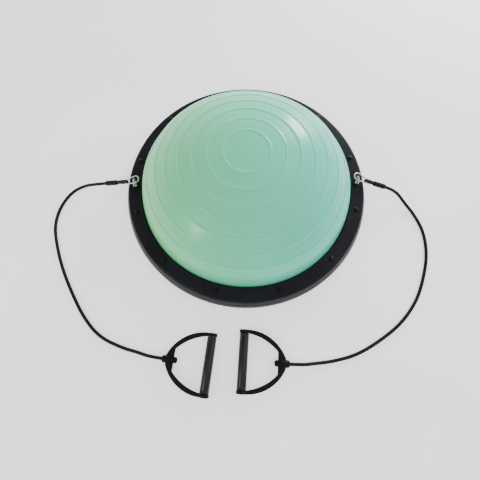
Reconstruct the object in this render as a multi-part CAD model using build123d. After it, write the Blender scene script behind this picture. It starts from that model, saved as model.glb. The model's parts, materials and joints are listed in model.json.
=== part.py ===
"""Half-ball balance trainer with two tethered pull handles.

Millimetres, +Z up. The origin is the centre of the underside, on the floor plane; -Y is the side
where the handles lie. The pull cords leave the rim at -X (left) and +X (right).
"""
import math
import os

from build123d import *

# Driving dimensions -------------------------------------------------------------------------
BASE_RADIUS = 300.0        # widest radius of the platform
FOOT_HEIGHT = 2.0          # the pads stand this far out of the underside
FLOOR_TOP = 7.0            # top of the platform's floor plate
FLANGE_TOP = 26.0          # where platform and clamp ring meet
WALL = 4.0
CHANNEL_INNER = 231.0      # inner face of the step that carries the flange
RIM_TOP = 41.0             # flat top of the clamp ring
RIM_TOP_OUTER = 288.0      # where the flat top starts to round over
RIM_SIDE = 297.0           # ring radius at the parting line
RIM_INNER = 258.0
LIP_HEIGHT = 1.6           # small raised bead beside the dome
DOME_A = 257.0             # dome semi-axis, sideways
DOME_B = 168.0             # dome semi-axis, upwards
BLADDER_WALL = 3.0
DOME_STEPS = 8
LIP_OUTER = 268.0          # outer edge of the clamped bladder lip
SCREW_COUNT = 12
SCREW_CIRCLE = 276.0
SCREW_START = 15.0         # angle of the first screw, degrees
SCREW_RADIUS = 2.0
HEAD_RADIUS = 5.5
HEAD_HEIGHT = 3.4
RIB_COUNT = 24
FOOT_COUNT = 8
FOOT_CIRCLE = 214.0
FOOT_RADIUS = 14.0
VALVE_Y = 100.0
EYE_CIRCLE = 273.0         # radius of the two eye bolts
EYE_Z = 57.0               # height of the eye's centre
EYE_RING = 9.0             # centreline radius of the eye
WIRE = 1.5                 # wire radius of eye and carabiner
SHANK = 3.0
BIG_END = 9.5              # centreline radii of the carabiner's two ends
SMALL_END = 5.5
END_GAP = 20.0             # distance between the ends along the front wire
LOOP_CORD = 2.9            # radius of the doubled cord through the small end
FERRULE_LENGTH = 34.0
FERRULE_RADIUS = 6.5
PITCH = 15.0               # slope of carabiner and ferrule, down and outwards
CORD_RADIUS = 4.0
CORD_LEAD = 28.0           # straight out of the ferrule, and straight into the hub
ROUND_FRACTION = 0.45      # share of the shorter run that each corner arc may use
HUB_TO_GRIP = 103.0        # from the hub's outer face to the grip's axis
GRIP_RADIUS = 10.5
GRIP_HALF = 59.0
ROD_RADIUS = 4.0
LUG_INNER = 59.5           # the bow's end lugs, measured along the grip
LUG_OUTER = 67.5
LUG_RADIUS = 11.5
BOW_THICKNESS = 9.0
JOURNAL = 5.0              # swivel sleeve radius inside the hub
RUNNING_GAP = 0.06
HUB_START = 3.0             # the hub barrel stands this far out of the bow
WEB_START = 8.5
TONGUE = 1.4               # half-width of the gate hinge's tongue
TONGUE_THICKNESS = 1.0
PIN_RADIUS = 0.5
PIVOT_PLACE = 4.5          # from the carabiner's root, along the gate
HUB_END = 26.0

# The two sides lie differently: where each cord goes and how its handle is turned -------------
SIDES = {
    "left": {
        "out": -1, "yaw": 4.0, "ferrule": 50.0, "hub": (-192.0, -408.0, 12.0), "turn": -8.0,
        "route": [(-416, 18, 11), (-450, 4, 4), (-474, -36, 4), (-482, -88, 4), (-468, -142, 4),
                  (-446, -200, 4), (-418, -254, 4), (-382, -314, 4), (-340, -360, 4),
                  (-284, -385, 4), (-250, -394, 5.5)],
    },
    "right": {
        "out": 1, "yaw": -12.0, "ferrule": 44.0, "hub": (89.0, -423.5, 12.0), "turn": 175.6,
        "route": [(400, -40, 11), (424, -72, 4), (440, -118, 4), (438, -176, 4),
                  (422, -228, 4), (396, -286, 4), (352, -338, 4), (298, -376, 4),
                  (240, -407, 4), (182, -420, 4), (146, -423, 5)],
    },
}


def turned(edges):
    """A solid of revolution about Z from edges drawn as (radius, height)."""
    return revolve(make_face([Plane.XZ * edge for edge in edges]), Axis.Z)


def polygon(points):
    return Polyline(*points, close=True).edges()


def rod(radius, bottom, top, x=0.0, y=0.0):
    """An upright cylinder between two heights."""
    return Pos(x, y, (bottom + top) / 2) * Cylinder(radius, top - bottom)


def on_circle(radius, degrees):
    angle = math.radians(degrees)
    return radius * math.cos(angle), radius * math.sin(angle)


def cap(radius, low, high):
    """The outline of a spherical cap, from its rim to the axis."""
    sphere = (radius**2 + (high - low)**2) / (2 * (high - low))
    rim_angle = math.degrees(math.acos(radius / sphere))
    return CenterArc((0, high - sphere), sphere, rim_angle, 90 - rim_angle)


def screw_places():
    step = 360 / SCREW_COUNT
    return [on_circle(SCREW_CIRCLE, SCREW_START + step * i) for i in range(SCREW_COUNT)]


def write(node, shape):
    shape.label = node
    export_step(shape, f"parts/{node}.step")


# Platform, dome and ring ----------------------------------------------------------------------
def base_shell():
    under = FLANGE_TOP - WALL - 1
    outer_wall = BASE_RADIUS - WALL - 0.5
    inner_wall = CHANNEL_INNER + WALL + 1
    shell = turned(polygon([
        (0, FOOT_HEIGHT), (inner_wall, FOOT_HEIGHT), (inner_wall, under), (outer_wall, under),
        (outer_wall, FOOT_HEIGHT), (BASE_RADIUS - 2, FOOT_HEIGHT), (BASE_RADIUS, FOOT_HEIGHT + 2),
        (BASE_RADIUS, 16), (RIM_SIDE + 0.5, FLANGE_TOP), (CHANNEL_INNER, FLANGE_TOP),
        (CHANNEL_INNER, FLOOR_TOP), (0, FLOOR_TOP)]))
    rib_length = outer_wall - inner_wall + 1
    rib_height = under - FOOT_HEIGHT - 0.5
    rib = Pos((outer_wall + inner_wall) / 2, 0, under - rib_height / 2 + 0.5) * Box(rib_length, 2.5, rib_height)
    for i in range(RIB_COUNT):
        shell += Rot(0, 0, 360 / RIB_COUNT * (i + 0.5)) * rib
    for x, y in screw_places():
        shell += rod(7, FOOT_HEIGHT + 1, under + 1, x, y)
        shell -= rod(SCREW_RADIUS + 0.02, 9, FLANGE_TOP + 1, x, y)
    for x in (-EYE_CIRCLE, EYE_CIRCLE):
        shell -= rod(SHANK + 0.1, under - 1, FLANGE_TOP + 1, x)
    for x, y in foot_places():
        shell -= rod(FOOT_RADIUS + 0.02, 0, FOOT_HEIGHT + 1.5, x, y)
    return shell - rod(9.02, 0, FLOOR_TOP + 1, 0, VALVE_Y)


def foot_places():
    ring = [on_circle(FOOT_CIRCLE, 360 / FOOT_COUNT * i) for i in range(FOOT_COUNT)]
    return [(0, 0)] + ring


def rubber_feet():
    return Compound(children=[rod(FOOT_RADIUS, 0, FOOT_HEIGHT + 1.5, x, y) for x, y in foot_places()])


def dome_curve(inset):
    """A quarter of an ellipse from its foot to the apex, drawn inside the outer surface."""
    foot = FLANGE_TOP + BLADDER_WALL
    steps = [math.radians(90 / DOME_STEPS * i) for i in range(DOME_STEPS)]
    points = [((DOME_A - inset) * math.cos(t), foot + (DOME_B - inset) * math.sin(t)) for t in steps]
    return Spline(*points, (0, foot + DOME_B - inset), tangents=[(0, 1), (-1, 0)])


def dome_bladder():
    """A half-ellipsoid wall with a flat lip at its foot that the clamp ring holds."""
    foot = FLANGE_TOP + BLADDER_WALL
    lip_inner = DOME_A - BLADDER_WALL
    return turned([
        dome_curve(0),
        Line((0, foot + DOME_B), (0, foot + DOME_B - BLADDER_WALL)),
        dome_curve(BLADDER_WALL),
        *Polyline((lip_inner, foot), (lip_inner, FLANGE_TOP), (LIP_OUTER, FLANGE_TOP), (LIP_OUTER, foot),
                  (DOME_A, foot)).edges()])


def clamp_ring():
    rebate = FLANGE_TOP + BLADDER_WALL
    ring = turned([
        *Polyline((RIM_TOP_OUTER, RIM_TOP), (RIM_INNER + 6.5, RIM_TOP),
                  (RIM_INNER + 5.5, RIM_TOP + LIP_HEIGHT), (RIM_INNER + 1.5, RIM_TOP + LIP_HEIGHT),
                  (RIM_INNER, RIM_TOP + 0.5), (RIM_INNER, rebate), (LIP_OUTER + 0.3, rebate),
                  (LIP_OUTER + 0.3, FLANGE_TOP), (RIM_SIDE, FLANGE_TOP)).edges(),
        ThreePointArc((RIM_SIDE, FLANGE_TOP), (RIM_SIDE - 1.6, RIM_TOP - 5.5), (RIM_TOP_OUTER, RIM_TOP))])
    for x, y in screw_places():
        ring -= rod(SCREW_RADIUS + 0.3, FLANGE_TOP - 1, RIM_TOP + 3, x, y)
    for x in (-EYE_CIRCLE, EYE_CIRCLE):
        ring -= rod(SHANK + 0.1, FLANGE_TOP - 1, RIM_TOP + 3, x)
    return ring


def ring_screws():
    head = turned([
        Line((0, RIM_TOP), (HEAD_RADIUS, RIM_TOP)),
        Line((HEAD_RADIUS, RIM_TOP), (HEAD_RADIUS, RIM_TOP + 1)),
        cap(HEAD_RADIUS, RIM_TOP + 1, RIM_TOP + HEAD_HEIGHT),
        Line((0, RIM_TOP + HEAD_HEIGHT), (0, RIM_TOP))])
    screw = head + rod(SCREW_RADIUS, 10, RIM_TOP)
    return Compound(children=[Pos(x, y, 0) * screw for x, y in screw_places()])


def valve_seat():
    seat = rod(9, FOOT_HEIGHT, FLOOR_TOP) + rod(14, FLOOR_TOP, FLOOR_TOP + 2)
    seat += rod(7.5, FLOOR_TOP, FLOOR_TOP + 7)
    seat -= rod(5, 0, FLOOR_TOP + 8)
    return Pos(0, VALVE_Y, 0) * (seat - rod(7.4, 0, FOOT_HEIGHT + 2.5))


def valve_plug():
    head_bottom = FOOT_HEIGHT + 0.2
    plug = rod(7, head_bottom, head_bottom + 2) + rod(5 - RUNNING_GAP, head_bottom + 2, FLOOR_TOP + 5)
    return Pos(0, VALVE_Y, 0) * plug


# Eye bolts --------------------------------------------------------------------------------------
def eye_bolt(x):
    ring = Rot(0, 90, 0) * Torus(EYE_RING, WIRE)
    stem = rod(SHANK, 11.5 - EYE_Z, -EYE_RING) + rod(SHANK + 2.5, RIM_TOP + 2 - EYE_Z, RIM_TOP + 3.5 - EYE_Z)
    return Pos(x, 0, EYE_Z) * (ring + stem)


def washer(x, radius, bottom, top):
    return rod(radius, bottom, top, x) - rod(SHANK + 0.05, bottom - 1, top + 1, x)


def eye_nut(x, top):
    nut = Pos(x, 0, top - 2.5) * extrude(RegularPolygon(5.8, 6), 2.5, both=True)
    return nut - rod(SHANK + 0.02, top - 6, top + 1, x)


# Carabiner, in its own plane: x along the front wire, y towards the gate ----------------------------
def carabiner_outline():
    big = Vector(0, BIG_END, 0)
    small = Vector(END_GAP, SMALL_END, 0)
    half = math.degrees(math.asin((BIG_END - SMALL_END) / (small - big).length))
    touch = 90 - 2 * half
    spots = {
        "nose": big + Vector(*on_circle(BIG_END, touch)),
        "far": big + Vector(*on_circle(BIG_END, (touch + 270) / 2)),
        "tip": small + Vector(*on_circle(SMALL_END, (touch - 90) / 2)),
        "root": small + Vector(*on_circle(SMALL_END, touch)),
    }
    spots["back"] = (spots["nose"] - spots["root"]).normalized()
    spots["pivot"] = spots["root"] + spots["back"] * PIVOT_PLACE
    return spots


def along_back(spots, distance):
    """A plane across the gate line, this far from the carabiner's root."""
    return Plane(origin=spots["root"] + spots["back"] * distance, x_dir=(0, 0, 1), z_dir=spots["back"])


def back_bar(spots, start, end, width, thickness):
    return extrude(along_back(spots, start) * Rectangle(thickness, width), end - start)


def carabiner_body():
    spots = carabiner_outline()
    path = Wire([
        ThreePointArc(spots["nose"], spots["far"], (0, 0)),
        Line((0, 0), (END_GAP, 0)),
        ThreePointArc((END_GAP, 0), spots["tip"], spots["root"]),
        Line(spots["root"], spots["root"] + spots["back"] * 1.5)])
    body = sweep(Plane(origin=path @ 0, z_dir=path % 0) * Circle(WIRE), path)
    tongue = back_bar(spots, 1.0, PIVOT_PLACE, 2 * TONGUE - 0.4, TONGUE_THICKNESS)
    tongue += Pos(spots["pivot"]) * Cylinder(TONGUE, TONGUE_THICKNESS)
    return body + tongue - Pos(spots["pivot"]) * Cylinder(PIN_RADIUS + RUNNING_GAP, 6)


def carabiner_gate():
    spots = carabiner_outline()
    length = (spots["nose"] - spots["root"]).length
    gate = extrude(along_back(spots, 2.7) * Circle(WIRE), length - 0.5 - 2.7)
    gate -= back_bar(spots, 2.0, 6.6, 6, TONGUE_THICKNESS + 0.3)
    return gate - Pos(spots["pivot"]) * Cylinder(PIN_RADIUS + 0.02, 6)


def gate_pin():
    return Pos(carabiner_outline()["pivot"]) * Cylinder(PIN_RADIUS, 2 * WIRE)


def cord_loop(side):
    """The doubled cord that goes through the small end; it stands across the carabiner's plane."""
    apart = 4.7
    inner = END_GAP + SMALL_END - apart
    mouth = side["ferrule"]
    together = LOOP_CORD + 0.1
    path = FilletPolyline(
        (mouth, together), (mouth - 4, together), (mouth - 14, apart), (inner, apart),
        (inner, -apart), (mouth - 14, -apart), (mouth - 4, -together), (mouth, -together),
        radius=[9, 9, 4.5, 4.5, 9, 9])
    path = Plane(origin=(0, SMALL_END, 0), x_dir=(1, 0, 0), z_dir=(0, -1, 0)) * path
    return sweep(Plane(origin=path @ 0, z_dir=path % 0) * Circle(LOOP_CORD), path)


def ferrule(side):
    """A crimped barrel with a taper at the cord's side."""
    barrel = turned(polygon([
        (0, 0), (FERRULE_RADIUS - 1, 0), (FERRULE_RADIUS, 1), (FERRULE_RADIUS, 27),
        (CORD_RADIUS + 1, FERRULE_LENGTH), (0, FERRULE_LENGTH)]))
    return Pos(side["ferrule"], SMALL_END, 0) * Rot(0, 90, 0) * barrel


def fitting_frame(side):
    """The carabiner's plane: its front wire runs through the eye."""
    yaw = math.radians(side["yaw"])
    pitch = math.radians(PITCH)
    flat = Vector(side["out"] * math.cos(yaw), math.sin(yaw), 0)
    across = Vector(-side["out"] * math.sin(yaw), math.cos(yaw), 0)
    along = flat * math.cos(pitch) - Vector(0, 0, math.sin(pitch))
    return Plane(origin=(side["out"] * EYE_CIRCLE, 0, EYE_Z), x_dir=along, z_dir=along.cross(across))


# Cord -------------------------------------------------------------------------------------------
def cord(side, name):
    fitting = fitting_frame(side)
    mouth = side["ferrule"] + FERRULE_LENGTH
    start = fitting.from_local_coords(Vector(mouth, SMALL_END, 0))
    lead = fitting.from_local_coords(Vector(mouth + CORD_LEAD, SMALL_END, 0))
    hub = Vector(*side["hub"])
    tail = hub - handle_frame(side).x_dir * CORD_LEAD
    points = [start, lead] + [Vector(*p) for p in side["route"]] + [tail, hub]
    print(name, "ends", start, lead, tail)
    runs = [b - a for a, b in zip(points, points[1:])]
    radii = []
    for before, after in zip(runs, runs[1:]):
        half_turn = math.radians(before.get_angle(after) / 2)
        radii.append(ROUND_FRACTION * min(before.length, after.length) / math.tan(half_turn))
    path = FilletPolyline(*points, radius=radii)
    tube = sweep(Plane(origin=path @ 0, z_dir=path % 0) * Circle(CORD_RADIUS), path)
    print(name, "radii", [round(r) for r in radii])
    print(name, "runs", [round(r.length) for r in runs], "length", round(path.length, 1))
    print(name, "volume / (section x length)", round(tube.volume / (math.pi * CORD_RADIUS**2 * path.length), 4))
    return tube


# Handle, in its own plane: x from the hub's outer face to the grip, y along the grip --------------
def handle_bow():
    def half(sign):
        return [
            Line((WEB_START, 0), (WEB_START, 11 * sign)),
            ThreePointArc((WEB_START, 11 * sign), (42, 51.5 * sign), (92, LUG_OUTER * sign)),
            Line((92, LUG_OUTER * sign), (HUB_TO_GRIP, LUG_OUTER * sign)),
            Line((HUB_TO_GRIP, LUG_OUTER * sign), (HUB_TO_GRIP, LUG_INNER * sign)),
            Line((HUB_TO_GRIP, LUG_INNER * sign), (94, LUG_INNER * sign)),
            ThreePointArc((94, LUG_INNER * sign), (56, 47 * sign), (HUB_END, 24 * sign)),
            Line((HUB_END, 24 * sign), (HUB_END, 0))]
    bow = None
    for sign in (1, -1):
        face = make_face(half(sign) + [Line((HUB_END, 0), (WEB_START, 0))])
        arm = extrude(face, BOW_THICKNESS / 2, both=True)
        lug_middle = sign * (LUG_INNER + LUG_OUTER) / 2
        arm += Pos(HUB_TO_GRIP, lug_middle, 0) * Rot(90, 0, 0) * Cylinder(LUG_RADIUS, LUG_OUTER - LUG_INNER)
        bow = arm if bow is None else bow + arm
    barrel = Pos((HUB_START + HUB_END) / 2, 0, 0) * Rot(0, 90, 0) * Cylinder(8.5, HUB_END - HUB_START)
    bore = Pos(HUB_END / 2, 0, 0) * Rot(0, 90, 0) * Cylinder(JOURNAL + RUNNING_GAP, HUB_END * 2)
    rod_bore = Pos(HUB_TO_GRIP, 0, 0) * Rot(90, 0, 0) * Cylinder(ROD_RADIUS, 2 * LUG_OUTER + 2)
    return bow + barrel - bore - rod_bore


def grip_rod():
    return Pos(HUB_TO_GRIP, 0, 0) * Rot(90, 0, 0) * Cylinder(ROD_RADIUS, 2 * LUG_OUTER - 3)


def rod_caps():
    """Two press-in discs that close the ends of the rod's bore."""
    cap = Rot(90, 0, 0) * Cylinder(ROD_RADIUS, 1.5)
    return Compound(children=[Pos(HUB_TO_GRIP, s * (LUG_OUTER - 0.75), 0) * cap for s in (1, -1)])


def grip_sleeve():
    sleeve = Cylinder(GRIP_RADIUS, 2 * GRIP_HALF) - Cylinder(ROD_RADIUS + RUNNING_GAP, 2 * GRIP_HALF + 2)
    sleeve = chamfer(sleeve.edges().filter_by(GeomType.CIRCLE).group_by(SortBy.RADIUS)[-1], 1)
    return Pos(HUB_TO_GRIP, 0, 0) * Rot(90, 0, 0) * sleeve


def swivel_sleeve():
    collar = turned(polygon([(0, 0), (6.5, 0), (7.5, 1), (7.5, 2.6), (JOURNAL, 2.6), (JOURNAL, 31), (0, 31)]))
    return Rot(0, 90, 0) * collar


def cord_stopper():
    knob = turned([
        Line((JOURNAL, HUB_END + 0.5), (6.8, HUB_END + 0.5)),
        Line((6.8, HUB_END + 0.5), (6.8, 31)),
        cap(6.8, 31, 34.5),
        Line((0, 34.5), (0, 31)),
        Line((0, 31), (JOURNAL, 31)),
        Line((JOURNAL, 31), (JOURNAL, HUB_END + 0.5))])
    return Rot(0, 90, 0) * knob


def handle_frame(side):
    turn = math.radians(side["turn"])
    along = Vector(math.cos(turn), math.sin(turn), 0)
    return Plane(origin=side["hub"], x_dir=along, z_dir=(0, 0, 1))


def main():
    os.makedirs("parts", exist_ok=True)
    write("base_shell", base_shell())
    write("rubber_feet", rubber_feet())
    write("dome_bladder", dome_bladder())
    write("clamp_ring", clamp_ring())
    write("ring_screws", ring_screws())
    write("valve_seat", valve_seat())
    write("valve_plug", valve_plug())
    under_flange = FLANGE_TOP - WALL - 1
    handle_pieces = {"handle_bow": handle_bow, "grip_rod": grip_rod, "rod_caps": rod_caps,
                     "grip_sleeve": grip_sleeve, "swivel_sleeve": swivel_sleeve,
                     "cord_stopper": cord_stopper}
    for name, side in SIDES.items():
        x = side["out"] * EYE_CIRCLE
        write(f"{name}_eye_bolt", eye_bolt(x))
        write(f"{name}_eye_collar", washer(x, 7.5, RIM_TOP, RIM_TOP + 2))
        write(f"{name}_eye_washer", washer(x, 8, under_flange - 1.5, under_flange))
        write(f"{name}_eye_nut", eye_nut(x, under_flange - 1.5))
        fitting_plane = fitting_frame(side)
        fittings = {"carabiner": carabiner_body(), "carabiner_gate": carabiner_gate(),
                    "gate_pin": gate_pin(), "cord_loop": cord_loop(side), "ferrule": ferrule(side)}
        for node, shape in fittings.items():
            write(f"{name}_{node}", fitting_plane * shape)
        write(f"{name}_cord", cord(side, name))
        hub_plane = handle_frame(side)
        for node, build in handle_pieces.items():
            write(f"{name}_{node}", hub_plane * build())
        print(name, "swing axis", fitting_plane.x_dir, "gate axis", fitting_plane.z_dir,
              "gate pivot", fitting_plane.from_local_coords(carabiner_outline()["pivot"]),
              "hub axis", hub_plane.x_dir, "grip axis", hub_plane.y_dir,
              "grip centre", hub_plane.from_local_coords(Vector(HUB_TO_GRIP, 0, 0)))


main()
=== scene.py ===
# Half-ball balance trainer with two tethered pull handles.
# Metres, +Z up; the origin is the centre of the underside and -Y is the side of the handles.
import json
import math

import bmesh
import bpy
from mathutils import Matrix, Vector


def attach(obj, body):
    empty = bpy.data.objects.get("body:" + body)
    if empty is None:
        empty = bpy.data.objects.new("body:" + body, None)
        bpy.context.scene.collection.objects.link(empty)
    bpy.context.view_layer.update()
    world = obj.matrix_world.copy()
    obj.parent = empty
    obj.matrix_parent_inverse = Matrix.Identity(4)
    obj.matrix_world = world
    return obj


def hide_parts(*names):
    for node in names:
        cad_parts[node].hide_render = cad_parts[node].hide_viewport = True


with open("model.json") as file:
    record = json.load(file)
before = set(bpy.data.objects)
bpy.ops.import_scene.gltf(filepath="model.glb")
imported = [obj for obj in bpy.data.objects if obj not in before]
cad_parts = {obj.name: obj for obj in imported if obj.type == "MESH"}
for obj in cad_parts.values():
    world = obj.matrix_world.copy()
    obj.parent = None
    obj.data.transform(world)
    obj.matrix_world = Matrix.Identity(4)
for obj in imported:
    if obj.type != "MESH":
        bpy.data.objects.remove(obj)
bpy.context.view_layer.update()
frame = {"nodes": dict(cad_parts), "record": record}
mm = 0.001
joints = {joint["name"]: joint for joint in frame["record"]["behaviour"]["joints"]}


# Colours and materials.
# sRGB hex to the linear colour that the shader wants.
def linear(hexColour):
    parts = [int(hexColour[i:i + 2], 16) / 255 for i in (0, 2, 4)]
    return [p / 12.92 if p <= 0.04045 else ((p + 0.055) / 1.055) ** 2.4 for p in parts] + [1.0]


def perMetre(millimetres):
    return 1000 / millimetres


def addNode(tree, kind, settings=None, links=None):
    node = tree.nodes.new(kind)
    for key, value in (settings or {}).items():
        if key in node.inputs:
            node.inputs[key].default_value = value
        else:
            setattr(node, key, value)
    for key, socket in (links or {}).items():
        tree.links.new(socket, node.inputs[key])
    return node


# A material with its plain values on the shader's own sockets.
def newMaterial(name, values):
    material = bpy.data.materials.new(name)
    material.use_nodes = True
    tree = material.node_tree
    shader = tree.nodes["Principled BSDF"]
    for key, value in values.items():
        shader.inputs[key].default_value = value
    place = tree.nodes.new("ShaderNodeTexCoord").outputs["Object"]
    return material, tree, shader, place


# Noise with patches of about this many millimetres.
def noiseOf(tree, place, size, detail):
    settings = {"Scale": perMetre(size), "Detail": detail}
    return addNode(tree, "ShaderNodeTexNoise", settings, {"Vector": place}).outputs["Fac"]


# Slow drift between two close colours.
def twoTones(tree, shader, place, size, dark, light, detail=3.0):
    ramp = addNode(tree, "ShaderNodeValToRGB", links={"Fac": noiseOf(tree, place, size, detail)})
    for stop, at, tone in zip(ramp.color_ramp.elements, (0.35, 0.65), (dark, light)):
        stop.position = at
        stop.color = linear(tone)
    tree.links.new(ramp.outputs["Color"], shader.inputs["Base Color"])


def roughPatches(tree, shader, place, size, low, high):
    span = addNode(tree, "ShaderNodeMapRange", {"To Min": low, "To Max": high},
                   {"Value": noiseOf(tree, place, size, 4.0)})
    tree.links.new(span.outputs["Result"], shader.inputs["Roughness"])


# A moulded or sparked surface: bumps of this size and depth, in millimetres.
def grain(tree, shader, place, size, depth, strength):
    bump = addNode(tree, "ShaderNodeBump", {"Strength": strength, "Distance": depth * mm},
                   {"Height": noiseOf(tree, place, size, 4.0)})
    tree.links.new(bump.outputs["Normal"], shader.inputs["Normal"])


def glossyPvc():
    # Calendered PVC, welded and blown up: a wet gloss with a very slight orange peel.
    material, tree, shader, place = newMaterial("glossyPvc", {
        "IOR": 1.5, "Specular IOR Level": 0.4, "Coat Weight": 0.2, "Coat Roughness": 0.14,
        "Subsurface Weight": 0.06, "Subsurface Scale": 0.004, "Subsurface Radius": (0.6, 1.0, 0.8)})
    split = addNode(tree, "ShaderNodeSeparateXYZ", links={"Vector": place})
    # Painted light: greener to the left and bluer to the right, a side-to-side tint that stands in for how
    # the light falls on the dome's two sides.
    across = addNode(tree, "ShaderNodeMapRange", {"From Min": -0.24, "From Max": 0.24},
                     {"Value": split.outputs["X"]})
    tint = addNode(tree, "ShaderNodeValToRGB", links={"Fac": across.outputs["Result"]})
    tint.color_ramp.elements[0].color = linear(pvcTones["left"])
    tint.color_ramp.elements[1].color = linear(pvcTones["right"])
    middle = tint.color_ramp.elements.new(0.55)
    middle.color = linear(pvcTones["middle"])
    shade = addNode(tree, "ShaderNodeMapRange", {"To Min": 0.95, "To Max": 1.05},
                    {"Value": noiseOf(tree, place, 90, 2.0)})
    scaled = addNode(tree, "ShaderNodeVectorMath", {"operation": "SCALE"},
                     {"Vector": tint.outputs["Color"], "Scale": shade.outputs["Result"]})
    tree.links.new(scaled.outputs["Vector"], shader.inputs["Base Color"])
    roughPatches(tree, shader, place, 40, 0.27, 0.37)
    grain(tree, shader, place, 2.2, 0.06, 0.12)
    return material


def satinAbs(name, dark, light, low, high):
    # Injection-moulded ABS, lightly spark-eroded: satin, with faint scuffs where feet and hands go.
    material, tree, shader, place = newMaterial(name, {"IOR": 1.54, "Specular IOR Level": 0.16})
    twoTones(tree, shader, place, 60, dark, light, 5.0)
    roughPatches(tree, shader, place, 14, low, high)
    grain(tree, shader, place, 1.1, 0.09, 0.35)
    return material


def nickelPlate():
    # Drawn steel wire, barrel-plated with zinc and nickel: pale grey, softened by fine handling marks.
    material, tree, shader, place = newMaterial("nickelPlate", {"Metallic": 1.0})
    twoTones(tree, shader, place, 6, "C4C3BE", "DEDEDA")
    roughPatches(tree, shader, place, 2.5, 0.30, 0.44)
    grain(tree, shader, place, 0.8, 0.02, 0.3)
    return material


def cordRubber():
    # Extruded natural-rubber cord: soft sheen, with a fine lengthwise drag and talc in places.
    material, tree, shader, place = newMaterial("cordRubber", {
        "IOR": 1.52, "Specular IOR Level": 0.22, "Sheen Weight": 0.03, "Sheen Roughness": 0.45})
    twoTones(tree, shader, place, 18, "060607", "0D0D0F", 4.0)
    roughPatches(tree, shader, place, 5, 0.38, 0.55)
    grain(tree, shader, place, 0.9, 0.05, 0.3)
    return material


def gripRubber():
    # Moulded PVC-rubber grip: satin, a touch greasy where the hand closes.
    material, tree, shader, place = newMaterial("gripRubber", {
        "IOR": 1.5, "Specular IOR Level": 0.45, "Sheen Weight": 0.02})
    twoTones(tree, shader, place, 22, "08080A", "0F0F12", 4.0)
    roughPatches(tree, shader, place, 9, 0.28, 0.40)
    grain(tree, shader, place, 0.7, 0.05, 0.35)
    return material


def paddedFoot():
    # Pressed rubber pads: matt and dusty.
    material, tree, shader, place = newMaterial("footRubber", {"IOR": 1.5})
    twoTones(tree, shader, place, 12, "17171A", "26262A")
    roughPatches(tree, shader, place, 4, 0.75, 0.9)
    grain(tree, shader, place, 0.9, 0.15, 0.5)
    return material


# The left and right tones are painted light: one PVC colour, tinted as its two sides look under the lamps.
pvcTones = {"left": "80F09C", "middle": "6CF0C4", "right": "50E2C8"}
materials = {
    "dome": glossyPvc(),
    "rim": satinAbs("satinAbsRim", "111116", "191A20", 0.38, 0.50),
    "platform": satinAbs("satinAbsPlatform", "09090B", "101012", 0.42, 0.58),
    "nylon": satinAbs("glassFilledNylon", "070708", "0D0D0F", 0.34, 0.46),
    "screw": satinAbs("blackScrewCap", "050506", "0A0A0C", 0.26, 0.38),
    "ferrule": satinAbs("ferrulePlastic", "101012", "1C1B1D", 0.28, 0.38),
    "valve": satinAbs("valvePlastic", "2A2A2C", "343437", 0.45, 0.6),
    "steel": nickelPlate(),
    "cord": cordRubber(),
    "grip": gripRubber(),
    "foot": paddedFoot(),
}
print("materials made")


# Mesh helpers.
# Turns a bmesh into a piece that rides on a body.
def finishMesh(name, shape, material, body, replaced, sharp=35):
    bmesh.ops.remove_doubles(shape, verts=shape.verts, dist=1e-6)
    bmesh.ops.recalc_face_normals(shape, faces=shape.faces)
    for face in shape.faces:
        face.smooth = True
    for edge in shape.edges:
        bent = len(edge.link_faces) == 2 and edge.calc_face_angle() > math.radians(sharp)
        edge.smooth = not bent
    mesh = bpy.data.meshes.new(name)
    shape.to_mesh(mesh)
    shape.free()
    return addPiece(name, mesh, material, body, replaced)


def addPiece(name, data, material, body, replaced):
    piece = bpy.data.objects.new(name, data)
    bpy.context.scene.collection.objects.link(piece)
    data.materials.clear()
    data.materials.append(material)
    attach(piece, body)
    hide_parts(*replaced)
    return piece


# Adds a solid of revolution: outline is (radius, height) in millimetres, about the local Z.
def spin(shape, outline, steps, place=Matrix()):
    corners = [shape.verts.new((radius * mm, 0, height * mm)) for radius, height in outline]
    lines = [shape.edges.new(pair) for pair in zip(corners, corners[1:])]
    before = set(shape.verts) - set(corners)
    bmesh.ops.spin(shape, geom=corners + lines, cent=(0, 0, 0), axis=(0, 0, 1), angle=math.tau,
                   steps=steps, use_merge=True)
    added = [v for v in shape.verts if v not in before]
    bmesh.ops.transform(shape, matrix=place, verts=added)
    bmesh.ops.remove_doubles(shape, verts=added, dist=1e-7)


# Points on an arc, angles in degrees.
def roundedCorner(centre, radius, start, end, steps=5):
    angles = [math.radians(start + (end - start) * i / steps) for i in range(steps + 1)]
    return [(centre[0] + radius * math.cos(a), centre[1] + radius * math.sin(a)) for a in angles]


# Points on the circle through three points, a and c included.
def arcThrough(a, b, c, steps):
    ax, ay, bx, by, cx, cy = *a, *b, *c
    aa, bb, cc = ax**2 + ay**2, bx**2 + by**2, cx**2 + cy**2
    d = 2 * (ax * (by - cy) + bx * (cy - ay) + cx * (ay - by))
    ux = (aa * (by - cy) + bb * (cy - ay) + cc * (ay - by)) / d
    uy = (aa * (cx - bx) + bb * (ax - cx) + cc * (bx - ax)) / d
    radius = math.hypot(ax - ux, ay - uy)
    start, middle, end = (math.degrees(math.atan2(y - uy, x - ux)) for x, y in (a, b, c))
    sweep = (end - start) % 360
    if (middle - start) % 360 > sweep:
        sweep -= 360
    return roundedCorner((ux, uy), radius, start, start + sweep, steps)


# A tube mesh of a bent wire or short cord, from points in metres.
def wire(name, points, radius):
    curve = bpy.data.curves.new(name + "Line", "CURVE")
    curve.dimensions = "3D"
    spline = curve.splines.new("POLY")
    spline.points.add(len(points) - 1)
    for spot, point in zip(spline.points, points):
        spot.co = (*point, 1)
    curve.bevel_depth = radius * mm
    curve.bevel_resolution = 6
    curve.use_fill_caps = True
    holder = bpy.data.objects.new(name + "Line", curve)
    mesh = bpy.data.meshes.new_from_object(holder)
    bpy.data.objects.remove(holder)
    return mesh


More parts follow.
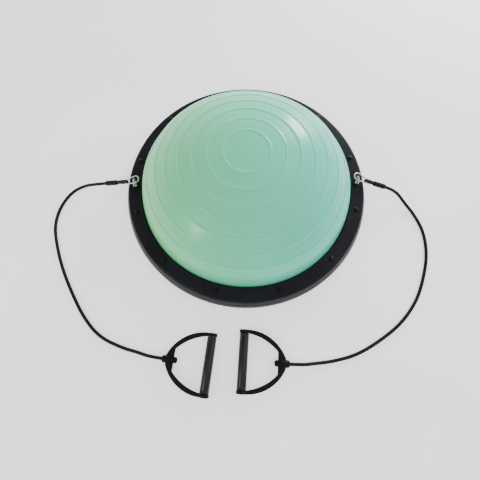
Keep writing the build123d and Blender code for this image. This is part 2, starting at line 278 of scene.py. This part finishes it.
# Dome and rim.
dome = {"a": 257.0, "b": 168.0, "foot": 29.0, "wall": 3.0, "lip": 268.0, "flange": 26.0,
        "firstRib": 50.4, "ribGap": 34.4, "ribs": 8, "ribWidth": 2.6, "ribHeight": 1.2, "steps": 180,
        "samples": 1600, "plainStep": 25, "ribStep": 3, "insideSteps": 30}


# The skin from the lip up to the apex and back down inside, with fine raised ribs.
def domeOutline():
    skin = []
    travelled = 0.0
    last = (0.0, dome["b"])
    for i in range(dome["samples"] + 1):
        angle = math.pi / 2 * i / dome["samples"]
        spot = (dome["a"] * math.sin(angle), dome["b"] * math.cos(angle))
        travelled += math.dist(spot, last)
        last = spot
        nearest = round((travelled - dome["firstRib"]) / dome["ribGap"])
        nearest = min(max(nearest, 0), dome["ribs"] - 1)
        away = abs(travelled - dome["firstRib"] - nearest * dome["ribGap"])
        onRib = away < dome["ribWidth"]
        if i % dome["plainStep"] and not (onRib and i % dome["ribStep"] == 0):
            continue
        rise = 0.0
        if onRib:
            rise = dome["ribHeight"] * (0.5 + 0.5 * math.cos(math.pi * away / dome["ribWidth"]))
        normal = Vector((spot[0] / dome["a"]**2, spot[1] / dome["b"]**2)).normalized()
        skin.append((spot[0] + normal.x * rise, dome["foot"] + spot[1] + normal.y * rise))
    skin[0] = (0.0, skin[0][1])
    innerA, innerB, steps = dome["a"] - dome["wall"], dome["b"] - dome["wall"], dome["insideSteps"]
    inside = [(innerA * math.sin(t), dome["foot"] + innerB * math.cos(t))
              for t in (math.pi / 2 * i / steps for i in range(steps + 1))]
    edge = [(dome["lip"], dome["foot"]), (dome["lip"], dome["flange"]), (innerA, dome["flange"])]
    return skin + edge + inside[::-1]


shape = bmesh.new()
spin(shape, domeOutline(), dome["steps"])
finishMesh("domeSkin", shape, materials["dome"], "base", ["dome_bladder"], 60)

rim = {"inner": 258.0, "bead": 42.6, "top": 41.0, "side": 297.0, "parting": 26.0, "steps": 240,
       "lipRecess": 268.3, "lipTop": 29.0, "shoulder": 286.6, "shoulderRound": 6.5}


def rimOutline():
    bead = roundedCorner((rim["inner"] + 1.6, rim["bead"] - 1.4), 1.4, 180, 90, 4)
    bead += roundedCorner((rim["inner"] + 4.2, rim["bead"] - 1.2), 1.2, 90, 0, 4)
    bend = rim["shoulderRound"]
    outer = roundedCorner((rim["shoulder"], rim["top"] - bend), bend, 90, 22, 7)
    recess = [(rim["lipRecess"], rim["parting"]), (rim["lipRecess"], rim["lipTop"]),
              (rim["inner"], rim["lipTop"]), (rim["inner"], 40)]
    flat = [(rim["inner"] + 6.2, rim["top"]), (rim["inner"] + 7.2, rim["top"])]
    side = [(294.6, 33.5), (295.8, 30.0), (rim["side"] - 0.3, rim["parting"] + 1.2),
            (rim["side"] - 1.2, rim["parting"])]
    return recess + bead + flat + outer + side + recess[:1]


shape = bmesh.new()
spin(shape, rimOutline(), rim["steps"])
finishMesh("clampRim", shape, materials["rim"], "base", ["clamp_ring"])

screws = {"count": 12, "circle": 276.0, "start": 15.0, "radius": 5.5, "crown": 5.8, "steps": 28}


def screwOutline():
    r = screws["radius"]
    crown = roundedCorner((0, 38.6), screws["crown"], 38.5, 90, 7)
    cupAndHead = [(0, 36), (2, 36), (2, 41.0), (r + 1.5, 41.0), (r + 1.5, 41.5), (r + 0.9, 41.9), (r, 41.9),
                  (r - 0.1, 42.4), (r - 0.6, 43.0)]
    return cupAndHead + [(x * 0.98, z + 0.6) for x, z in crown[1:-1]] + [(0, 44.4)]


shape = bmesh.new()
for i in range(screws["count"]):
    angle = math.radians(screws["start"] + 360 / screws["count"] * i)
    spot = Vector((math.cos(angle), math.sin(angle), 0)) * screws["circle"] * mm
    spin(shape, screwOutline(), screws["steps"], Matrix.Translation(spot))
finishMesh("rimScrewCaps", shape, materials["screw"], "base", ["ring_screws"])
print("dome and rim made")


# Metal fittings and handles.
# A matrix whose X is along and whose Z is up.
def axes(origin, along, up):
    along, up = Vector(along).normalized(), Vector(up).normalized()
    side = up.cross(along)
    return Matrix.Translation(Vector(origin)) @ Matrix((along, side, up)).transposed().to_4x4()


def placed(place, points):
    return [place @ (Vector(p) * mm) for p in points]


turnToX = Matrix.Rotation(math.pi / 2, 4, "Y")   # local Z becomes X
turnToY = Matrix.Rotation(-math.pi / 2, 4, "X")  # local Z becomes Y
# Outlines are (radius, height): the stem from the eye's centre, the collar from the floor.
eye = {"radius": 9.0, "wire": 1.5, "steps": 48,
       "stem": [(0, -45.5), (3, -45.5), (3, -14), (3.4, -14), (3.4, -13.3), (2.9, -12.5), (2.0, -10.6),
                (0, -9.0)],
       "collar": [(3, 41), (7.6, 41), (7.6, 42.2), (7.0, 43), (3, 43), (3, 41)]}


def eyeBolt(side, swing):
    centre = Vector(swing["pos_m"])
    ring = [(0, eye["radius"] * math.cos(t), eye["radius"] * math.sin(t))
            for t in (math.tau * i / eye["steps"] - math.pi / 2 for i in range(eye["steps"] + 1))]
    shape = bmesh.new()
    mesh = wire("eyeRing", placed(Matrix.Translation(centre), ring), eye["wire"])
    shape.from_mesh(mesh)
    spin(shape, eye["stem"], 28, Matrix.Translation(centre))
    finishMesh(side + "EyeBolt", shape, materials["steel"], "base",
               [side + "_eye_bolt"])
    shape = bmesh.new()
    spin(shape, eye["collar"], 36, Matrix.Translation((centre.x, centre.y, 0)))
    finishMesh(side + "EyeCollar", shape, materials["nylon"], "base",
               [side + "_eye_collar"])


# The tongue is where the gate's hinge pin goes; its box is length, width and thickness.
carabiner = {"big": 9.5, "small": 5.5, "gap": 20.0, "wire": 1.5, "stub": 1.5, "pivot": 4.5,
             "tongueMiddle": 3.0, "tongue": (4.2, 2.4, 1.0), "disc": 1.4}


def carabinerHook(side, place):
    big, small, gap = carabiner["big"], carabiner["small"], carabiner["gap"]
    half = math.degrees(math.asin((big - small) / math.hypot(gap, big - small)))
    touch = 90 - 2 * half
    far = roundedCorner((0, big), big, touch, 270, 26)
    near = roundedCorner((gap, small), small, -90, touch, 16)
    root = Vector(near[-1])
    back = (Vector(far[0]) - root).normalized()
    outline = far + near + [root + back * carabiner["stub"]]
    mesh = wire("hook", placed(place, [(x, y, 0) for x, y in outline]), carabiner["wire"])
    shape = bmesh.new()
    shape.from_mesh(mesh)
    pivot = root + back * carabiner["pivot"]
    tongue = bmesh.ops.create_cube(shape, size=1.0)["verts"]
    middle = root + back * carabiner["tongueMiddle"]
    turn = Matrix.Rotation(math.atan2(back.y, back.x), 4, "Z")
    size = Matrix.Diagonal((*(Vector(carabiner["tongue"]) * mm), 1))
    where = place @ Matrix.Translation((middle.x * mm, middle.y * mm, 0))
    bmesh.ops.transform(shape, matrix=where @ turn @ size, verts=tongue)
    disc = place @ Matrix.Translation((pivot.x * mm, pivot.y * mm, 0))
    radius, thick = carabiner["disc"], carabiner["tongue"][2] / 2
    spin(shape, [(0, -thick), (radius, -thick), (radius, thick), (0, thick)], 20, disc)
    finishMesh(side + "CarabinerHook", shape, materials["steel"], side + "_cord_set",
               [side + "_carabiner"])


loop = {"cord": 2.9, "apart": 4.7, "mouth": {"left": 50.0, "right": 44.0}}


# The doubled cord through the carabiner's small end.
def cordLoop(side, place):
    inner = carabiner["gap"] + carabiner["small"]
    mouth, near = loop["mouth"][side], loop["cord"] + 0.1
    upper = arcThrough((mouth, near), (mouth - 8, near + 0.5), (mouth - 15, 4.6), 8)
    turnBack = roundedCorner((inner, 0), loop["apart"], 80, 280, 16)
    outline = upper + turnBack + [(x, -z) for x, z in upper[::-1]]
    points = [(x, carabiner["small"], -z) for x, z in outline]
    mesh = wire("loop", placed(place, points), loop["cord"])
    shape = bmesh.new()
    shape.from_mesh(mesh)
    return finishMesh(side + "CordLoop", shape, materials["cord"], side + "_cord_set",
                      [side + "_cord_loop"])


# A crimped barrel: rounded mouth, two pressed rings and a taper onto the cord.
ferruleOutline = [
    (0, 0), (5.2, 0), (6.2, 0.8), (6.5, 1.8), (6.5, 6.0), (6.0, 6.8), (6.0, 8.6), (6.5, 9.4), (6.5, 18.6),
    (6.0, 19.4), (6.0, 21.2), (6.5, 22.0), (6.5, 26.5), (6.1, 28.6), (5.2, 32.6), (4.4, 33.8), (4.0, 34.0),
    (0, 34)]


def ferrule(side, place):
    shape = bmesh.new()
    start = Matrix.Translation((loop["mouth"][side] * mm, carabiner["small"] * mm, 0))
    spin(shape, ferruleOutline, 40, place @ start @ turnToX)
    return finishMesh(side + "CordFerrule", shape, materials["ferrule"], side + "_cord_set",
                      [side + "_ferrule"])


# In the handle's plane: x from the hub's outer face towards the grip's rod, y along the grip.
bow = {"hub": 3.0, "start": 8.5, "inner": 26.0, "lugIn": 59.5, "lugOut": 67.5, "thick": 9.0,
       "rod": 103.0, "round": 2.4, "bore": 5.1, "barrel": 23.0}


def bowOutline():
    half = arcThrough((bow["start"], 11), (42, 51.5), (92, bow["lugOut"]), 22)
    half += [(bow["rod"], bow["lugOut"]), (bow["rod"], bow["lugIn"])]
    half += arcThrough((94, bow["lugIn"]), (56, 47), (bow["inner"] + 1.4, 25.2), 18)
    half += [(bow["inner"] + 0.3, 23.4), (bow["inner"], 21.0)]
    return half + [(x, -y) for x, y in half[::-1]]


def handleBow(side, place):
    shape = bmesh.new()
    corners = [shape.verts.new((x * mm, y * mm, -bow["thick"] / 2 * mm)) for x, y in bowOutline()]
    face = shape.faces.new(corners)
    added = bmesh.ops.extrude_face_region(shape, geom=[face])["geom"]
    lifted = [v for v in added if isinstance(v, bmesh.types.BMVert)]
    bmesh.ops.translate(shape, vec=(0, 0, bow["thick"] * mm), verts=lifted)
    rims = [e for e in shape.edges if abs(e.verts[0].co.z - e.verts[1].co.z) < 1e-6]
    bmesh.ops.bevel(shape, geom=rims, offset=bow["round"] * mm, segments=4, profile=0.5,
                    affect="EDGES", material=-1)
    bmesh.ops.triangulate(shape, faces=[f for f in shape.faces if len(f.verts) > 4])
    bmesh.ops.transform(shape, matrix=place, verts=shape.verts)
    lug = [(0, 0)] + roundedCorner((9.9, 1.6), 1.6, -90, 0, 4)
    lug += roundedCorner((9.5, 6.0), 2.0, 0, 90, 4) + [(4.6, 8.0), (4.4, 7.4), (0, 7.4)]
    for sign in (1, -1):
        flip = turnToY if sign > 0 else Matrix.Rotation(math.pi / 2, 4, "X")
        end = Matrix.Translation((bow["rod"] * mm, sign * bow["lugIn"] * mm, 0))
        spin(shape, lug, 40, place @ end @ flip)
    barrel = [(bow["bore"], 0)] + roundedCorner((7.3, 1.2), 1.2, -90, 0, 3)
    barrel += roundedCorner((7.3, bow["barrel"] - 1.2), 1.2, 0, 90, 3)
    barrel += [(bow["bore"], bow["barrel"]), (bow["bore"], 0)]
    spin(shape, barrel, 40, place @ Matrix.Translation((bow["hub"] * mm, 0, 0)) @ turnToX)
    finishMesh(side + "HandleBow", shape, materials["nylon"], side + "_handle",
               [side + "_handle_bow", side + "_rod_caps"])


grip = {"half": 59.0, "bore": 4.1, "radius": 10.5, "groove": 10.2}


def gripSleeve(side, place):
    half, full, groove = grip["half"], grip["radius"], grip["groove"]
    outline = [(grip["bore"], -half), (9.2, -half)] + roundedCorner((9.3, 1.2 - half), 1.2, -90, 0, 4)
    outline += [(full, 4 - half), (groove, 4.6 - half), (groove, 5.6 - half), (full, 6.2 - half)]
    outline += [(radius, -height) for radius, height in outline[::-1]] + [(grip["bore"], -half)]
    shape = bmesh.new()
    spin(shape, outline, 48, place @ Matrix.Translation((bow["rod"] * mm, 0, 0)) @ turnToY)
    finishMesh(side + "GripTube", shape, materials["grip"], side + "_grip",
               [side + "_grip_sleeve"])


stopperOutline = [
    (5, 26.5), (6.4, 26.5), (6.8, 27.0), (6.8, 30.6), (6.4, 31.8), (5.2, 33.1), (3.0, 34.1), (0, 34.5),
    (0, 31), (5, 31), (5, 26.5)]


def cordStopper(side, place):
    shape = bmesh.new()
    spin(shape, stopperOutline, 36, place @ turnToX)
    return finishMesh(side + "CordStopper", shape, materials["nylon"], side + "_cord_set",
                      [side + "_cord_stopper"])


# The cords, 8 mm across: lengths in metres, and route points in mm from the ferrule to the hub.
cords = {
    "left": {"length": 0.667, "route": [
        (-353.6, 11.1, 35.3), (-380.5, 13.0, 28.0), (-416, 18, 11), (-450, 4, 4), (-474, -36, 4),
        (-482, -88, 4), (-468, -142, 4), (-446, -200, 4), (-418, -254, 4), (-382, -314, 4),
        (-340, -360, 4), (-284, -385, 4), (-250, -394, 5.5), (-219.7, -404.1, 12), (-192, -408, 12)]},
    "right": {"length": 0.682, "route": [
        (347.8, -10.3, 36.8), (374.3, -15.9, 29.6), (400, -40, 11), (424, -72, 4), (440, -118, 4),
        (438, -176, 4), (422, -228, 4), (396, -286, 4), (352, -338, 4), (298, -376, 4),
        (240, -407, 4), (182, -420, 4), (146, -423, 5), (116.9, -425.6, 12), (89, -423.5, 12)]},
}


def pullCord(side):
    curve = bpy.data.curves.new(side + "PullCord", "CURVE")
    curve.dimensions = "3D"
    spline = curve.splines.new("NURBS")
    route = cords[side]["route"]
    spline.points.add(len(route) - 1)
    for spot, point in zip(spline.points, route):
        spot.co = (*(Vector(point) * mm), 1)
    spline.order_u = 3
    spline.use_endpoint_u = True
    curve.resolution_u = 16
    curve.bevel_depth = 4 * mm  # half of the cord's diameter
    curve.bevel_resolution = 6
    curve.use_fill_caps = True
    cord = addPiece(side + "PullCord", curve, materials["cord"], side + "_cord_set",
                    [side + "_cord"])


for side in ("left", "right"):
    swing = joints[side + "_swing"]
    outward = Vector(swing["axis"])
    if outward.x * swing["pos_m"][0] < 0:
        outward = -outward
    fitting = axes(swing["pos_m"], outward, joints[side + "_gate_open"]["axis"])
    swivel = joints[side + "_handle_swivel"]
    hub = axes(swivel["pos_m"], swivel["axis"], (0, 0, 1))
    eyeBolt(side, swing)
    carabinerHook(side, fitting)
    onCord = [cordLoop(side, fitting), ferrule(side, fitting), cordStopper(side, hub)]
    handleBow(side, hub)
    gripSleeve(side, hub)
    pullCord(side)
print("fittings, cords and handles made")


# Carried-over parts get their finish.
finishes = {"base_shell": "platform", "rubber_feet": "foot", "valve_seat": "valve",
            "valve_plug": "valve"}
for side in ("left", "right"):
    for node in ("eye_nut", "eye_washer", "carabiner_gate", "gate_pin", "grip_rod"):
        finishes[f"{side}_{node}"] = "steel"
    finishes[side + "_swivel_sleeve"] = "ferrule"
for node, finish in finishes.items():
    part = frame["nodes"][node]
    if not part.material_slots:
        part.data.materials.append(None)
    for holder in part.material_slots:
        holder.link = "OBJECT"
        holder.material = materials[finish]
print("carried-over parts finished")


# Floor, light and camera. Each light is its name, place, size and power, and points at the origin.
# The sky's stops run from low behind the dome (0) past low in front (about 0.6) to overhead (1).
studio = {"floor": "FBFBFA", "glow": 1.0, "world": 2.35,
          "sky": [(0.0, "FFFFFF"), (0.33, "D0D0D0"), (0.60, "505052"), (1.0, "A4A4A6")], "lean": -0.45,
          "lights": [("key", (0.92, 1.32, 0.60), 0.42, 17), ("fill", (-1.18, -0.90, 0.95), 0.30, 4.6),
                     ("right", (1.7, 0.0, 1.5), 2.4, 15)]}


def makeFloor():
    shape = bmesh.new()
    bmesh.ops.create_grid(shape, x_segments=1, y_segments=1, size=6)
    mesh = bpy.data.meshes.new("floor")
    shape.to_mesh(mesh)
    shape.free()
    floor = bpy.data.objects.new("floor", mesh)
    bpy.context.scene.collection.objects.link(floor)
    # Matt white paper sweep.
    material, tree, shader, place = newMaterial("paperSweep", {"Roughness": 0.9})
    twoTones(tree, shader, place, 300, "F2F2F1", studio["floor"])
    shader.inputs["Emission Color"].default_value = linear("FFFFFF")
    shader.inputs["Emission Strength"].default_value = studio["glow"]
    mesh.materials.append(material)


def areaLight(name, spot, size, power):
    lamp = bpy.data.lights.new(name, "AREA")
    lamp.size = size
    lamp.energy = power
    light = bpy.data.objects.new(name, lamp)
    light.location = spot
    light.rotation_euler = (-Vector(spot)).to_track_quat("-Z", "Y").to_euler()
    bpy.context.scene.collection.objects.link(light)


def makeCamera():
    view = {"spot": (-0.0166, -0.3999, 0.8250), "lens": 26.18, "tilt": 18.01, "roll": 0.75}
    camera = bpy.data.cameras.new("camera")
    camera.lens = view["lens"]
    camera.sensor_width = 36
    holder = bpy.data.objects.new("camera", camera)
    tilt = Matrix.Rotation(math.radians(view["tilt"]), 4, "X")
    roll = Matrix.Rotation(-math.radians(view["roll"]), 4, "Z")
    holder.matrix_world = Matrix.Translation(Vector(view["spot"])) @ tilt @ roll
    bpy.context.scene.collection.objects.link(holder)
    bpy.context.scene.camera = holder


makeFloor()
world = bpy.data.worlds.new("studio")
world.use_nodes = True
sky = world.node_tree.nodes["Background"]
sky.inputs["Strength"].default_value = studio["world"]
direction = world.node_tree.nodes.new("ShaderNodeTexCoord").outputs["Generated"]
# Brightest low behind the dome and darkest in front, so that the rim's front and top stay black.
split = addNode(world.node_tree, "ShaderNodeSeparateXYZ", links={"Vector": direction})
lean = addNode(world.node_tree, "ShaderNodeMath", {"operation": "MULTIPLY_ADD"},
               {0: split.outputs["Y"], 2: split.outputs["Z"]})
lean.inputs[1].default_value = studio["lean"]
reach = addNode(world.node_tree, "ShaderNodeMapRange", {"From Min": -0.5, "From Max": 1.0},
                {"Value": lean.outputs["Value"]})
dim = addNode(world.node_tree, "ShaderNodeValToRGB", links={"Fac": reach.outputs["Result"]})
stops = dim.color_ramp.elements
for at, tone in studio["sky"][1:-1]:
    stops.new(at)
for stop, (at, tone) in zip(stops, studio["sky"]):
    stop.color = linear(tone)
world.node_tree.links.new(dim.outputs["Color"], sky.inputs["Color"])
bpy.context.scene.world = world
for name, spot, size, power in studio["lights"]:
    areaLight(name, spot, size, power)
makeCamera()
print("studio made")
